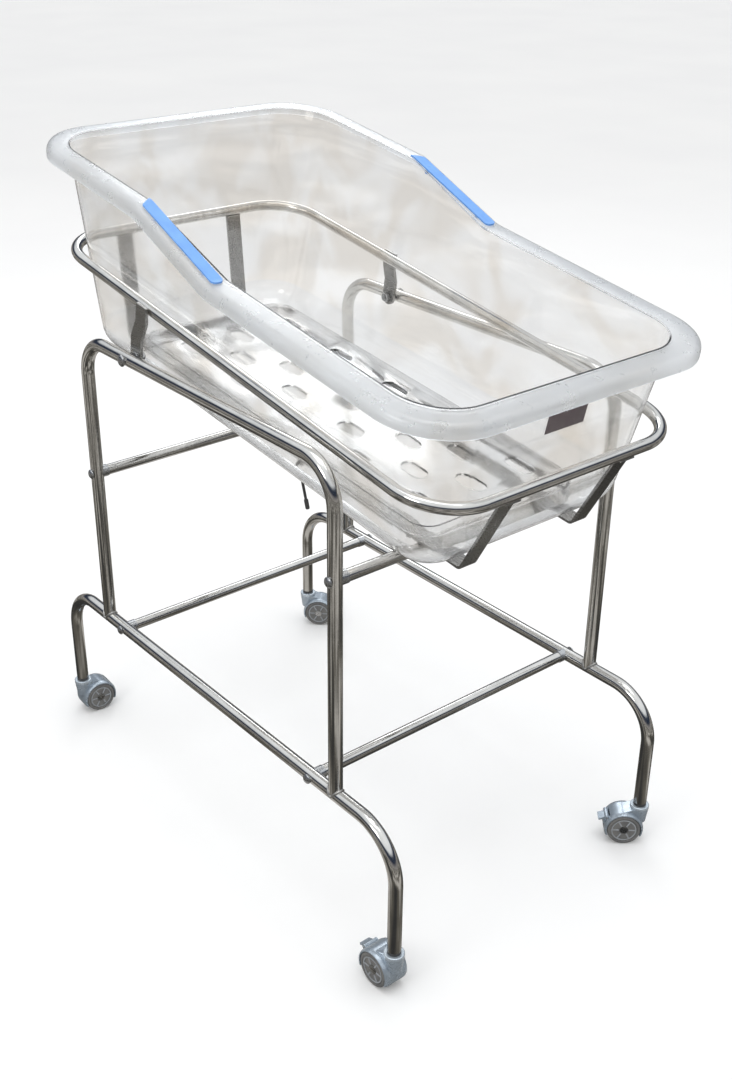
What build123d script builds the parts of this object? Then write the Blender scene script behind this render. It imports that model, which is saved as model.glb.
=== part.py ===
from build123d import *
from math import asin, atan2, cos, degrees, radians, sin, tan
import os

# A newborn's hospital bassinet on casters. +X points to the foot end, +Z up, lengths in millimetres.
# Left is the -Y side and right the +Y side, as seen from the foot end.
# Two bent steel side frames are bolted together by four cross bars and stand on four casters.
# A ring of steel tube with two straps hangs between them on a pivot, and the clear tub sits in it.

# Side frames
tube_d = 19.0
tube_wall = 1.2
frame_half_width = 240.0
hoop_half_length = 287.0
hoop_bend_r = 55.0
top_rail_z = 702.0
low_rail_z = 242.0
low_rail_half_length = 408.0
low_rail_bend_r = 70.0
low_rail_end_z = 67.0
weld_gap = 0.1

# Cross bars, their end plugs, saddles and bolts
bar_d = 16.0
upper_head_bar_z = 490.0
upper_foot_bar_x = hoop_half_length
lower_bar_x = 239.0
saddle_length = 7.0
saddle_flange_d = 18.0
plug_length = 22.0
bolt_tip_room = 2.0
bolt_d = 6.0
bolt_head_d = 14.0
bolt_head_h = 4.5
bolt_hole_clearance = 0.2
fit_gap = 0.05

# Cradle ring, written in its own tilted frame: u to the foot, v across, w normal to the ring
tilt = 9.05
ring_d = 16.0
ring_wall = 1.2
ring_half_length = 421.0
ring_half_width = 208.5
ring_corner_r = 75.0
vent_hole_d = 3.0

# Straps under the tub
strap_v = 97.0
strap_width = 25.0
strap_thick = 4.0
strap_bend_r = 8.0
strap_head_u = -385.0
strap_head_w = -161.0
strap_foot_u = 376.0
strap_foot_w = -130.0
rest_gap = 0.3

# Pivot of the cradle
pivot_x = -167.6
pivot_u = -170.0
pivot_w = -69.2
bracket_width = 25.0
bracket_thick = 5.0
bracket_joggle_top = -18.0
bracket_joggle_low = -42.0
bracket_top_w = 6.0
pivot_bolt_d = 8.0
pivot_head_d = 17.0
pivot_head_h = 5.0
pivot_washer_d = 18.0
pivot_washer_thick = 1.5
pivot_nut_across = 13.0
pivot_nut_h = 7.0
pivot_nut_chamfer = 0.8
pivot_bolt_overhang = 2.0
side_play = 0.3

# Tub
tub_wall = 3.0
tub_low_rim_w = 116.0
tub_high_rim_w = 158.0
rim_slope_head_u = -150.0
rim_slope_foot_u = 15.0
rim_blend_r = 45.0
wall_top_head_u = -414.0
wall_top_foot_u = 397.0
wall_top_half_width = 214.0
wall_foot_draft = 3.5
wall_head_draft = 5.8
wall_side_draft = 9.3
wall_corner_r = 70.0
wall_corner_growth = 0.06
tub_bottom_r = 50.0
flange_head_u = -442.0
flange_foot_u = 429.0
flange_half_width = 247.5
flange_corner_r = 90.0
flange_skirt = 18.0
flange_round_r = 10.0
loft_spare = 30.0

# Raised floor of the tub
step_low_h = 26.0
step_high_h = 34.0
step_half_length = 334.0
step_half_width = 142.0
step_corner_r = 42.0
step_inset = 9.0
step_draft = 5.0
floor_centre_u = 4.0
vent_length = 46.0
vent_width = 25.0
vent_pitch = 127.0
vent_row_gap = 43.0
vent_centre_u = 16.0
vent_even_count = 5

# Trim on the rim and the plain plate on the foot wall
pad_inner_v = 219.5
pad_width = 17.0
pad_thick = 2.5
pad_slant = 12.0
pad_foot_round_r = 6.8
pad_head_u = -156.0
pad_foot_u = 18.0
pad_lug_d = 6.0
pad_lug_length = 9.0
pad_lug_inset = 32.0
pad_lug_clearance = 0.3
plate_length = 65.0
plate_height = 25.0
plate_thick = 0.8
plate_v = 5.0
plate_w = 57.0

# Stay rod that hangs under the left strap
stay_rod_d = 4.0
stay_x = 38.0
stay_length = 66.0
stay_lean = 17.0
stay_drop = 9.0
stay_lug_thick = 3.0
stay_lug_width = 14.0
stay_bend_r = 6.0
stay_tip_d = 6.0
stay_tip_length = 14.0
stay_tip_cover = 1.5
stay_end_room = 1.0
stay_washer_d = 9.0
stay_washer_thick = 1.2

# Casters, written in their own frame: origin on the floor under the stem, +X along the trail
wheel_r = 25.0
wheel_width = 13.2
wheel_inner_y = 5.5
wheel_tread_r = 3.0
wheel_dish_depth = 1.6
wheel_dish_bevel = 1.0
wheel_dish_outer_r = 20.0
caster_trail = 22.0
hood_r = 29.0
hood_lip_y = 18.5
hood_well_clearance = 0.6
hood_web_half = 5.0
hood_flat_y = 12.0
hood_rim_drop = 1.8
hood_boss_low_z = 34.0
hood_boss_low_r = 11.0
hood_slope_x = 12.0
hood_slope_z = 25.5
hood_bottom_z = 15.0
hood_top_z = 58.0
hood_shoulder_x = 9.8
boss_r = 14.0
cap_top_z = 62.4
cap_round_r = 1.5
stem_d = 10.0
stem_bottom_z = 44.0
stem_top_z = 100.0
stem_plug_top_z = 97.0
axle_d = 6.0
axle_cap_r = 6.0
axle_cap_thick = 1.2
head_left_heading = 87.0
head_right_heading = 45.0
foot_left_heading = 180.0
foot_right_heading = -132.0

# Brake levers on the two foot casters
brake_pin_x = 47.5
brake_pin_z = 41.0
brake_pin_d = 3.0
brake_ear_r = 3.6
brake_ear_thick = 2.6
brake_half_width = 8.0
brake_slot_gap = 0.5
brake_pad_length = 13.0
brake_pad_thick = 3.0
brake_pad_drop = 22.0
brake_shoe_length = 12.0
brake_shoe_thick = 3.0
brake_shoe_offset = 3.0
brake_window_low_z = 24.0
brake_window_clearance = 1.0
far_caster = 90.0

# Values worked out from the ones above
tube_r = tube_d / 2
bar_r = bar_d / 2
ring_r = ring_d / 2
tilt_cos = cos(radians(tilt))
tilt_sin = sin(radians(tilt))
ring_x = pivot_x - pivot_u * tilt_cos - pivot_w * tilt_sin
ring_z = top_rail_z + pivot_u * tilt_sin - pivot_w * tilt_cos
in_cradle = Pos(ring_x, 0, ring_z) * Rot(0, tilt, 0)
strap_slope = (strap_foot_w - strap_head_w) / (strap_foot_u - strap_head_u)
strap_angle = degrees(atan2(strap_slope, 1))
bed_rise = (strap_thick + rest_gap) / cos(radians(strap_angle))
bolt_hole_r = bolt_d / 2 + bolt_hole_clearance
pieces = {}


def strap_line_w(u):
    """Height of the outer face of the straps' bottom run."""
    return strap_head_w + (u - strap_head_u) * strap_slope


def cradle_point(u, w):
    """Side-view position of a point of the tilted cradle."""
    return ring_x + u * tilt_cos + w * tilt_sin, ring_z - u * tilt_sin + w * tilt_cos


def along_y(radius, y_low, y_high, x, z):
    """Round bar along Y between two values of Y."""
    bar = Cylinder(radius, abs(y_high - y_low), rotation=(90, 0, 0))
    return Pos(x, (y_low + y_high) / 2, z) * bar


def upright(radius, z_low, z_high, x=0.0, y=0.0):
    """Round bar along Z between two heights."""
    return Pos(x, y, (z_low + z_high) / 2) * Cylinder(radius, z_high - z_low)


def block(x_low, x_high, y_low, y_high, z_low, z_high):
    """Box given by its limits."""
    centre = Pos((x_low + x_high) / 2, (y_low + y_high) / 2, (z_low + z_high) / 2)
    return centre * Box(x_high - x_low, y_high - y_low, z_high - z_low)


def bent_tube(path, diameter, wall):
    """Round tube that follows a path."""
    start = Plane(origin=path @ 0, z_dir=path % 0)
    section = Circle(diameter / 2) - Circle(diameter / 2 - wall)
    return sweep(start * section, path=path)


def domed_head(diameter, height):
    """Domed bolt head that stands on z = 0: a short rim under a spherical cap."""
    radius = diameter / 2
    rim = height / 3
    crown = height - rim
    dome_r = (radius**2 + crown**2) / (2 * crown)
    half_angle = asin(radius / dome_r) / 2
    middle = (dome_r * sin(half_angle), height - dome_r + dome_r * cos(half_angle))
    outline = Polyline((0, height), (0, 0), (radius, 0), (radius, rim))
    outline += ThreePointArc((radius, rim), middle, (0, height))
    return revolve(Plane.XZ * make_face(outline), Axis.Z)


# Side frames: one bent hoop stands on one bent lower rail on each side


def hoop(side):
    """Upper hoop with its legs coped onto the lower rail and drilled for the bolts."""
    y = side * frame_half_width
    path = FilletPolyline(
        (-hoop_half_length, y, low_rail_z),
        (-hoop_half_length, y, top_rail_z),
        (hoop_half_length, y, top_rail_z),
        (hoop_half_length, y, low_rail_z),
        radius=hoop_bend_r,
    )
    tube = bent_tube(path, tube_d, tube_wall)
    rail_length = 2 * hoop_half_length + 4 * tube_d
    tube -= Pos(0, y, low_rail_z) * Cylinder(tube_r + weld_gap, rail_length, rotation=(0, 90, 0))
    for x, z in ((-hoop_half_length, upper_head_bar_z), (upper_foot_bar_x, upper_foot_bar_z)):
        tube -= along_y(bolt_hole_r, y - tube_d, y + tube_d, x, z)
    pivot_hole_r = pivot_bolt_d / 2 + fit_gap
    tube -= along_y(pivot_hole_r, y - tube_d, y + tube_d, pivot_x, top_rail_z)
    return tube


def lower_rail(side):
    """Lower rail with turned-down ends for the casters."""
    y = side * frame_half_width
    path = FilletPolyline(
        (-low_rail_half_length, y, low_rail_end_z),
        (-low_rail_half_length, y, low_rail_z),
        (low_rail_half_length, y, low_rail_z),
        (low_rail_half_length, y, low_rail_end_z),
        radius=low_rail_bend_r,
    )
    tube = bent_tube(path, tube_d, tube_wall)
    for x in (-lower_bar_x, lower_bar_x):
        tube -= along_y(bolt_hole_r, y - tube_d, y + tube_d, x, low_rail_z)
    return tube


# The straps rest on the upper foot bar when the cradle is tilted foot down
strap_drop = (bar_r + rest_gap) / cos(radians(tilt - strap_angle))
strap_low_x, strap_low_z = cradle_point(strap_foot_u, strap_foot_w)
strap_rise = (strap_low_x - upper_foot_bar_x) * tan(radians(tilt - strap_angle))
upper_foot_bar_z = strap_low_z + strap_rise - strap_drop

pieces["upper_hoop_left"] = hoop(-1)
pieces["upper_hoop_right"] = hoop(1)
pieces["lower_rail_left"] = lower_rail(-1)
pieces["lower_rail_right"] = lower_rail(1)

# Cross bars: each bar butts on a saddle at each end, and a bolt draws it up through the side tube
bar_places = {
    "upper_head_bar": (-hoop_half_length, upper_head_bar_z, True),
    "upper_foot_bar": (upper_foot_bar_x, upper_foot_bar_z, True),
    "lower_head_bar": (-lower_bar_x, low_rail_z, False),
    "lower_foot_bar": (lower_bar_x, low_rail_z, False),
}
saddle_face_y = frame_half_width - tube_r
bar_half_length = saddle_face_y - saddle_length
plug_r = bar_r - tube_wall - fit_gap


def saddle(x, z, on_upright, side):
    """Saddle between a bar's end and the round side tube."""
    inner = side * bar_half_length
    outer = side * frame_half_width
    solid = along_y(saddle_flange_d / 2, inner, outer, x, z)
    turn = (0, 0, 0) if on_upright else (0, 90, 0)
    seat = Cylinder(tube_r + fit_gap, 3 * tube_d, rotation=turn)
    solid -= Pos(x, side * frame_half_width, z) * seat
    return solid - along_y(bolt_hole_r, inner - side, outer + side, x, z)


def bar_plug(x, z, side):
    """Threaded plug inside a bar's end."""
    outer = side * bar_half_length
    inner = side * (bar_half_length - plug_length)
    plug = along_y(plug_r, inner, outer, x, z)
    return plug - along_y(bolt_d / 2 + fit_gap, inner - side, outer + side, x, z)


def bar_bolt(x, z, side):
    """Domed bolt through the side tube and the saddle into the plug."""
    seat_y = frame_half_width + tube_r + fit_gap
    tip = side * (bar_half_length - plug_length + bolt_tip_room)
    shank = along_y(bolt_d / 2, tip, side * (seat_y + 1), x, z)
    head = Pos(x, side * seat_y, z) * Rot(-side * 90, 0, 0) * domed_head(bolt_head_d, bolt_head_h)
    return shank + head


saddles = []
bar_plugs = []
bar_bolts = []
for name, (x, z, on_upright) in bar_places.items():
    bar = along_y(bar_r, -bar_half_length, bar_half_length, x, z)
    pieces[name] = bar - along_y(bar_r - tube_wall, -frame_half_width, frame_half_width, x, z)
    for side in (-1, 1):
        saddles.append(saddle(x, z, on_upright, side))
        bar_plugs.append(bar_plug(x, z, side))
        bar_bolts.append(bar_bolt(x, z, side))
pieces["bar_saddles"] = saddles
pieces["bar_plugs"] = bar_plugs
pieces["bar_bolts"] = bar_bolts

# Cradle ring: one closed loop of tube with a weld vent under its head end
ring_outline = RectangleRounded(2 * ring_half_length, 2 * ring_half_width, ring_corner_r)
ring_path = ring_outline.wire()
ring = bent_tube(ring_path, ring_d, ring_wall)
ring -= upright(vent_hole_d / 2, -ring_d, 0, -ring_half_length, 0)
pieces["cradle_ring"] = in_cradle * ring

# Straps: two flat bars bent under the tub and welded under the ends of the ring
half_thick = strap_thick / 2
strap_rise_w = half_thick / cos(radians(strap_angle))


def strap(side):
    """Flat bar bent to a trough, seen from the side and given its width."""
    line = FilletPolyline(
        (-ring_half_length, 0),
        (strap_head_u + half_thick, strap_head_w + strap_rise_w),
        (strap_foot_u - half_thick, strap_foot_w + strap_rise_w),
        (ring_half_length, 0),
        radius=strap_bend_r,
    )
    flat = extrude(Plane.XZ * trace(line, line_width=strap_thick), strap_width / 2, both=True)
    solid = Pos(0, side * strap_v, 0) * flat
    for end in (-1, 1):
        solid -= along_y(ring_r + weld_gap, -ring_half_width, ring_half_width, end * ring_half_length, 0)
    return solid


pieces["strap_left"] = in_cradle * strap(-1)
pieces["strap_right"] = in_cradle * strap(1)

# Pivot brackets: flat bars welded to the ring's flanks, set out to the rails by a joggle
rail_face_y = frame_half_width - tube_r
washer_inner_y = rail_face_y - fit_gap - pivot_washer_thick
bracket_outer_v = washer_inner_y - side_play
bracket_mid_v = bracket_outer_v - bracket_thick / 2
flank_mid_v = ring_half_width + ring_r + weld_gap + bracket_thick / 2
bracket_hole_r = pivot_bolt_d / 2 + fit_gap


def bracket(side):
    """Joggled flat bar with a rounded lower end and the pivot hole."""
    line = Polyline(
        (bracket_mid_v, pivot_w - bracket_width / 2),
        (bracket_mid_v, bracket_joggle_low),
        (flank_mid_v, bracket_joggle_top),
        (flank_mid_v, bracket_top_w),
    )
    bar = extrude(Plane.YZ * trace(line, line_width=bracket_thick), bracket_width / 2, both=True)
    outline = Pos(0, pivot_w, 0) * Circle(bracket_width / 2)
    outline += Pos(0, (pivot_w + bracket_top_w) / 2, 0) * Rectangle(bracket_width, bracket_top_w - pivot_w)
    bar &= extrude(Plane.XZ * outline, -2 * frame_half_width)
    bar -= along_y(bracket_hole_r, 0, 2 * frame_half_width, 0, pivot_w)
    bar = Pos(pivot_u, 0, 0) * bar
    return bar if side > 0 else mirror(bar, Plane.XZ)


pieces["pivot_bracket_left"] = in_cradle * bracket(-1)
pieces["pivot_bracket_right"] = in_cradle * bracket(1)

# Pivot bolts, washers and nuts stay with the side frames, and the brackets turn on the bolts
bracket_inner_v = bracket_outer_v - bracket_thick
nut_outer_y = bracket_inner_v - side_play
nut_inner_y = nut_outer_y - pivot_nut_h
pivot_bolts = []
pivot_washers = []
pivot_nuts = []
for side in (-1, 1):
    seat_y = frame_half_width + tube_r + fit_gap
    shank_tip = side * (nut_inner_y - pivot_bolt_overhang)
    shank = along_y(pivot_bolt_d / 2, shank_tip, side * (seat_y + 1), pivot_x, top_rail_z)
    head = domed_head(pivot_head_d, pivot_head_h)
    head = Pos(pivot_x, side * seat_y, top_rail_z) * Rot(-side * 90, 0, 0) * head
    pivot_bolts.append(shank + head)
    washer_outer_y = rail_face_y - fit_gap
    washer = along_y(pivot_washer_d / 2, side * washer_inner_y, side * washer_outer_y, pivot_x, top_rail_z)
    washer -= along_y(bracket_hole_r, 0, side * frame_half_width, pivot_x, top_rail_z)
    pivot_washers.append(washer)
    hexagon = extrude(RegularPolygon(pivot_nut_across / 2, 6, major_radius=False), pivot_nut_h)
    hexagon = chamfer(hexagon.edges().group_by(Axis.Z)[-1], pivot_nut_chamfer)
    nut = Pos(pivot_x, side * nut_outer_y, top_rail_z) * Rot(side * 90, 0, 0) * hexagon
    nut -= along_y(bracket_hole_r, 0, side * frame_half_width, pivot_x, top_rail_z)
    pivot_nuts.append(nut)
pieces["pivot_bolts"] = pivot_bolts
pieces["pivot_washers"] = pivot_washers
pieces["pivot_nuts"] = pivot_nuts

# Tub: a drafted shell with a rounded bottom, a raised stepped floor and a turned-down flange
loft_low_w = strap_head_w - loft_spare
loft_high_w = tub_high_rim_w + loft_spare
far_length = 3 * low_rail_half_length


def wall_section(w, inset):
    """Rounded outline of the wall at one height."""
    rise = w - tub_low_rim_w
    head = wall_top_head_u - rise * tan(radians(wall_head_draft)) + inset
    foot = wall_top_foot_u + rise * tan(radians(wall_foot_draft)) - inset
    half = wall_top_half_width + rise * tan(radians(wall_side_draft)) - inset
    corner = wall_corner_r + rise * wall_corner_growth - inset
    return Pos((head + foot) / 2, 0, w) * RectangleRounded(foot - head, 2 * half, corner)


def bed_plane(height):
    """Plane at a height over the tub's outer bottom, parallel to the straps."""
    angle = radians(strap_angle)
    u = floor_centre_u
    w = strap_line_w(u) + bed_rise + height / cos(angle)
    return Plane(origin=(u, 0, w), x_dir=(cos(angle), 0, sin(angle)), z_dir=(-sin(angle), 0, cos(angle)))


def wall_block(inset):
    """Solid inside the wall's face, closed below by the rounded bottom."""
    solid = loft([wall_section(loft_low_w, inset), wall_section(loft_high_w, inset)], ruled=True)
    under = (Align.CENTER, Align.CENTER, Align.MAX)
    below = bed_plane(inset) * Box(far_length, far_length, far_length, align=under)
    solid -= below
    bottom = solid.faces().sort_by(Axis.Z)[0]
    return fillet(bottom.edges(), tub_bottom_r - inset)


def under_rim(drop):
    """All that lies under the rim's top line, lowered by a drop."""
    far = far_length / 2
    outline = Polyline(
        (-far, loft_low_w),
        (-far, tub_high_rim_w - drop),
        (rim_slope_head_u, tub_high_rim_w - drop),
        (rim_slope_foot_u, tub_low_rim_w - drop),
        (far, tub_low_rim_w - drop),
        (far, loft_low_w),
        close=True,
    )
    face = make_face(outline)
    bends = face.vertices().filter_by(lambda p: abs(p.X) < far / 2)
    face = fillet(bends, rim_blend_r)
    return extrude(Plane.XZ * face, far / 2, both=True)


def rim_block(inset):
    """Solid inside the flange's outer face, with its rounded top edge."""
    length = flange_foot_u - flange_head_u - 2 * inset
    outline = RectangleRounded(length, 2 * (flange_half_width - inset), flange_corner_r - inset)
    prism = extrude(Pos((flange_foot_u + flange_head_u) / 2, 0, loft_low_w) * outline, far_length)
    prism &= under_rim(inset)
    top_edges = prism.edges().filter_by(lambda e: e.center().Z > tub_low_rim_w - flange_skirt)
    return fillet(top_edges, flange_round_r - inset)


def floor_step(height, low_height, half_length, half_width, corner):
    """One drafted step of the raised floor."""
    narrowing = (height - low_height) * tan(radians(step_draft))
    low = RectangleRounded(2 * half_length, 2 * half_width, corner)
    high = RectangleRounded(2 * (half_length - narrowing), 2 * (half_width - narrowing), corner - narrowing)
    return loft([bed_plane(low_height) * low, bed_plane(height) * high], ruled=True)


def raised_floor(inset):
    """Both steps of the raised floor, their faces moved in by the wall for the underside."""
    low = floor_step(
        step_low_h - inset,
        -tub_wall,
        step_half_length - inset,
        step_half_width - inset,
        step_corner_r - inset,
    )
    high = floor_step(
        step_high_h - inset,
        -tub_wall,
        step_half_length - step_inset - inset,
        step_half_width - step_inset - inset,
        step_corner_r - step_inset - inset,
    )
    return low + high


def vent_places():
    """Centres of the oval vents: five staggered rows about the middle of the floor."""
    places = []
    for row in range(-2, 3):
        count = vent_even_count - abs(row) % 2
        for index in range(count):
            u = vent_centre_u - floor_centre_u + (index - (count - 1) / 2) * vent_pitch
            places.append((u, row * vent_row_gap))
    return places


cavity = wall_block(tub_wall) - raised_floor(0)
tub = wall_block(0) & under_rim(0)
tub += rim_block(0) - rim_block(tub_wall) - under_rim(flange_skirt)
tub -= cavity
tub -= raised_floor(tub_wall)
vent_slots = Sketch() + [Pos(u, v) * SlotOverall(vent_length, vent_width) for u, v in vent_places()]
tub -= extrude(bed_plane(step_low_h) * vent_slots, step_high_h)

# Blue trim pads: each lies on the sloping part of the rim and is clipped through it by two lugs
pad_mid_v = pad_inner_v + pad_width / 2
lug_us = (pad_head_u + pad_lug_inset, pad_foot_u - pad_lug_inset)


def rim_height(u):
    """Height of the rim's sloping top line."""
    share = (u - rim_slope_head_u) / (rim_slope_foot_u - rim_slope_head_u)
    return tub_high_rim_w + share * (tub_low_rim_w - tub_high_rim_w)


def pad_outline():
    """Plan of a pad: slanted at the head end, rounded at the foot end."""
    half = pad_width / 2
    face = make_face(
        Polyline(
            (pad_head_u, pad_mid_v - half),
            (pad_foot_u, pad_mid_v - half),
            (pad_foot_u, pad_mid_v + half),
            (pad_head_u + pad_slant, pad_mid_v + half),
            close=True,
        )
    )
    foot_corners = face.vertices().group_by(Axis.X)[-1]
    return fillet(foot_corners, pad_foot_round_r)


def pad(side):
    """Trim pad that follows the rim's slope, with its lugs."""
    prism = extrude(Pos(0, 0, loft_low_w) * pad_outline(), far_length)
    solid = (prism & under_rim(-pad_thick)) - under_rim(0)
    for u in lug_us:
        top = rim_height(u) + pad_thick / 2
        solid += upright(pad_lug_d / 2, top - pad_thick / 2 - pad_lug_length, top, u, pad_mid_v)
    return solid if side > 0 else mirror(solid, Plane.XZ)


lug_hole_r = pad_lug_d / 2 + pad_lug_clearance
for side in (-1, 1):
    for u in lug_us:
        low = rim_height(u) - pad_lug_length
        tub -= upright(lug_hole_r, low, rim_height(u) + tub_wall, u, side * pad_mid_v)
pieces["tub"] = in_cradle * tub
pieces["rim_pad_left"] = in_cradle * pad(-1)
pieces["rim_pad_right"] = in_cradle * pad(1)

# Plain plate on the outside of the foot wall
plate_u = wall_top_foot_u + (plate_w - tub_low_rim_w) * tan(radians(wall_foot_draft))
plate_place = Pos(plate_u + fit_gap, plate_v, plate_w) * Rot(0, wall_foot_draft, 0)
plate = plate_place * Pos(plate_thick / 2, 0, 0) * Box(plate_thick, plate_length, plate_height)
pieces["plain_plate"] = in_cradle * plate

# Stay rod: hooked through a lug under the left strap, it folds up along the strap
stay_strap_x, stay_strap_z = cradle_point(strap_head_u, strap_head_w)
stay_face_z = stay_strap_z - (stay_x - stay_strap_x) * tan(radians(tilt - strap_angle))
stay_z = stay_face_z - stay_drop
stay_r = stay_rod_d / 2
lug_top = Pos(stay_x, -strap_v, stay_face_z) * Rot(0, tilt - strap_angle, 0)
lug_outline = Rectangle(stay_lug_width, stay_drop, align=(Align.CENTER, Align.MAX))
lug_outline += Pos(0, -stay_drop) * Circle(stay_lug_width / 2)
lug = lug_top * Pos(0, 0, -weld_gap) * extrude(Plane.XZ * lug_outline, stay_lug_thick / 2, both=True)
pin_y = -strap_v
lug -= along_y(stay_r + fit_gap, pin_y - stay_lug_width, pin_y + stay_lug_width, stay_x, stay_z)
pieces["stay_lug"] = lug
rod_start_y = pin_y + stay_lug_thick / 2 + stay_washer_thick + stay_end_room
rod_down_y = pin_y - stay_lug_thick / 2 - side_play - stay_r - stay_bend_r
lean_x = stay_length * sin(radians(stay_lean))
lean_z = stay_length * cos(radians(stay_lean))
rod_path = FilletPolyline(
    (stay_x, rod_start_y, stay_z),
    (stay_x, rod_down_y, stay_z),
    (stay_x + lean_x, rod_down_y, stay_z - lean_z),
    radius=stay_bend_r,
)
rod = sweep(Plane(origin=rod_path @ 0, z_dir=rod_path % 0) * Circle(stay_r), path=rod_path)
rod_down = Plane(origin=rod_path @ 1, z_dir=rod_path % 1)
pieces["stay_rod"] = rod
tip = Pos(0, 0, stay_tip_cover - stay_tip_length / 2) * Cylinder(stay_tip_d / 2, stay_tip_length)
tip = fillet(tip.edges().group_by(Axis.Z)[-1], stay_tip_d / 3)
tip -= Pos(0, 0, -stay_tip_length / 2) * Cylinder(stay_r + fit_gap, stay_tip_length)
pieces["stay_tip"] = rod_down * tip
washer_y = pin_y + stay_lug_thick / 2 + side_play
stay_washer = along_y(stay_washer_d / 2, washer_y, washer_y + stay_washer_thick, stay_x, stay_z)
stay_washer -= along_y(stay_r + fit_gap / 2, washer_y - 1, washer_y + 2 * stay_washer_thick, stay_x, stay_z)
pieces["stay_washer"] = stay_washer

# Casters: hooded twin wheels that swivel on a stem held in each turned-down tube end
axle_place = Pos(caster_trail, 0, wheel_r)
wheel_outer_y = wheel_inner_y + wheel_width
well_r = wheel_r + hood_well_clearance


def wheel(side):
    """One wheel with a rounded tread and a dished outer face."""
    dish_y = wheel_outer_y - wheel_dish_depth
    face = make_face(
        Polyline(
            (axle_d / 2 + fit_gap, wheel_inner_y),
            (wheel_r, wheel_inner_y),
            (wheel_r, wheel_outer_y),
            (wheel_dish_outer_r + wheel_dish_bevel, wheel_outer_y),
            (wheel_dish_outer_r, dish_y),
            (axle_d / 2 + fit_gap, dish_y),
            close=True,
        )
    )
    tread = face.vertices().group_by(Axis.X)[-1]
    face = fillet(tread, wheel_tread_r)
    solid = revolve(face, Axis.Y)
    solid = axle_place * solid
    return solid if side > 0 else mirror(solid, Plane.XZ)


def hood(braked):
    """Moulded hood: a barrel over both wheels that runs forward into the stem's boss."""
    rim_r = hood_r - hood_rim_drop
    middle_y = (hood_flat_y + hood_lip_y) / 2
    middle_r = hood_r - hood_rim_drop / 4
    outline = Polyline((0, -hood_lip_y), (rim_r, -hood_lip_y))
    outline += ThreePointArc((rim_r, -hood_lip_y), (middle_r, -middle_y), (hood_r, -hood_flat_y))
    outline += Line((hood_r, -hood_flat_y), (hood_r, hood_flat_y))
    outline += ThreePointArc((hood_r, hood_flat_y), (middle_r, middle_y), (rim_r, hood_lip_y))
    outline += Polyline((rim_r, hood_lip_y), (0, hood_lip_y), (0, -hood_lip_y))
    solid = axle_place * revolve(make_face(outline), Axis.Y)
    boss = loft(
        [
            Pos(0, 0, hood_boss_low_z) * Circle(hood_boss_low_r),
            Pos(0, 0, hood_top_z) * Circle(boss_r),
        ],
        ruled=True,
    )
    slope = Polyline(
        (0, hood_top_z),
        (hood_shoulder_x, hood_top_z),
        (caster_trail + hood_slope_x, wheel_r + hood_slope_z),
        (caster_trail, wheel_r),
        (0, wheel_r),
        close=True,
    )
    solid += boss
    solid += extrude(Plane.XZ * make_face(slope), hood_flat_y, both=True)
    if braked:
        for side in (-1, 1):
            ear_low = side * (brake_half_width + brake_slot_gap)
            ear_high = side * (brake_half_width + brake_slot_gap + brake_ear_thick)
            solid += along_y(brake_ear_r, ear_low, ear_high, brake_pin_x, brake_pin_z)
    solid -= block(-far_caster, far_caster, -far_caster, far_caster, -far_caster, hood_bottom_z)
    for side in (-1, 1):
        well_low = side * hood_web_half
        solid -= along_y(well_r, well_low, side * far_caster, caster_trail, wheel_r)
        outside = side * hood_lip_y
        solid -= along_y(hood_r + 1, outside, side * far_caster, caster_trail, wheel_r)
    solid -= along_y(axle_d / 2 + fit_gap / 2, -far_caster, far_caster, caster_trail, wheel_r)
    solid -= upright(stem_d / 2 + fit_gap, stem_bottom_z - 1, hood_top_z + 1)
    if braked:
        window_half = brake_half_width + brake_slot_gap
        window_top = brake_pin_z + brake_ear_r + brake_slot_gap
        window_x = brake_pin_x - brake_ear_r - brake_window_clearance
        solid -= block(window_x, far_caster, -window_half, window_half, brake_window_low_z, window_top)
        solid -= along_y(brake_pin_d / 2 + fit_gap, -far_caster, far_caster, brake_pin_x, brake_pin_z)
    return solid


def brake_lever():
    """Toe lever on its pin: a pad to press at the rear and a shoe that faces the treads."""
    outline = Pos(brake_pin_x, brake_pin_z) * Circle(brake_ear_r)
    toe = Rectangle(brake_pad_length, brake_pad_thick, align=(Align.MIN, Align.CENTER))
    outline += Pos(brake_pin_x, brake_pin_z) * Rot(0, 0, -brake_pad_drop) * toe
    shoe = Rectangle(brake_shoe_thick, brake_shoe_length, align=(Align.CENTER, Align.MAX))
    outline += Pos(brake_pin_x + brake_shoe_offset, brake_pin_z) * shoe
    lever = extrude(Plane.XZ * outline, brake_half_width, both=True)
    lever -= along_y(brake_pin_d / 2 + fit_gap, -far_caster, far_caster, brake_pin_x, brake_pin_z)
    return lever


def hood_cap():
    """Round cap over the hood's boss."""
    cap = upright(boss_r, hood_top_z, cap_top_z)
    cap = fillet(cap.edges().group_by(Axis.Z)[-1], cap_round_r)
    return cap - upright(stem_d / 2 + fit_gap, stem_bottom_z, stem_top_z)


def axle():
    """Axle with a domed cap over each wheel's hub."""
    cap_y = wheel_outer_y - wheel_dish_depth + side_play
    rod = along_y(axle_d / 2, -cap_y - 0.5, cap_y + 0.5, caster_trail, wheel_r)
    for side in (-1, 1):
        head = domed_head(2 * axle_cap_r, axle_cap_thick)
        rod += Pos(caster_trail, side * cap_y, wheel_r) * Rot(-side * 90, 0, 0) * head
    return rod


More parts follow.
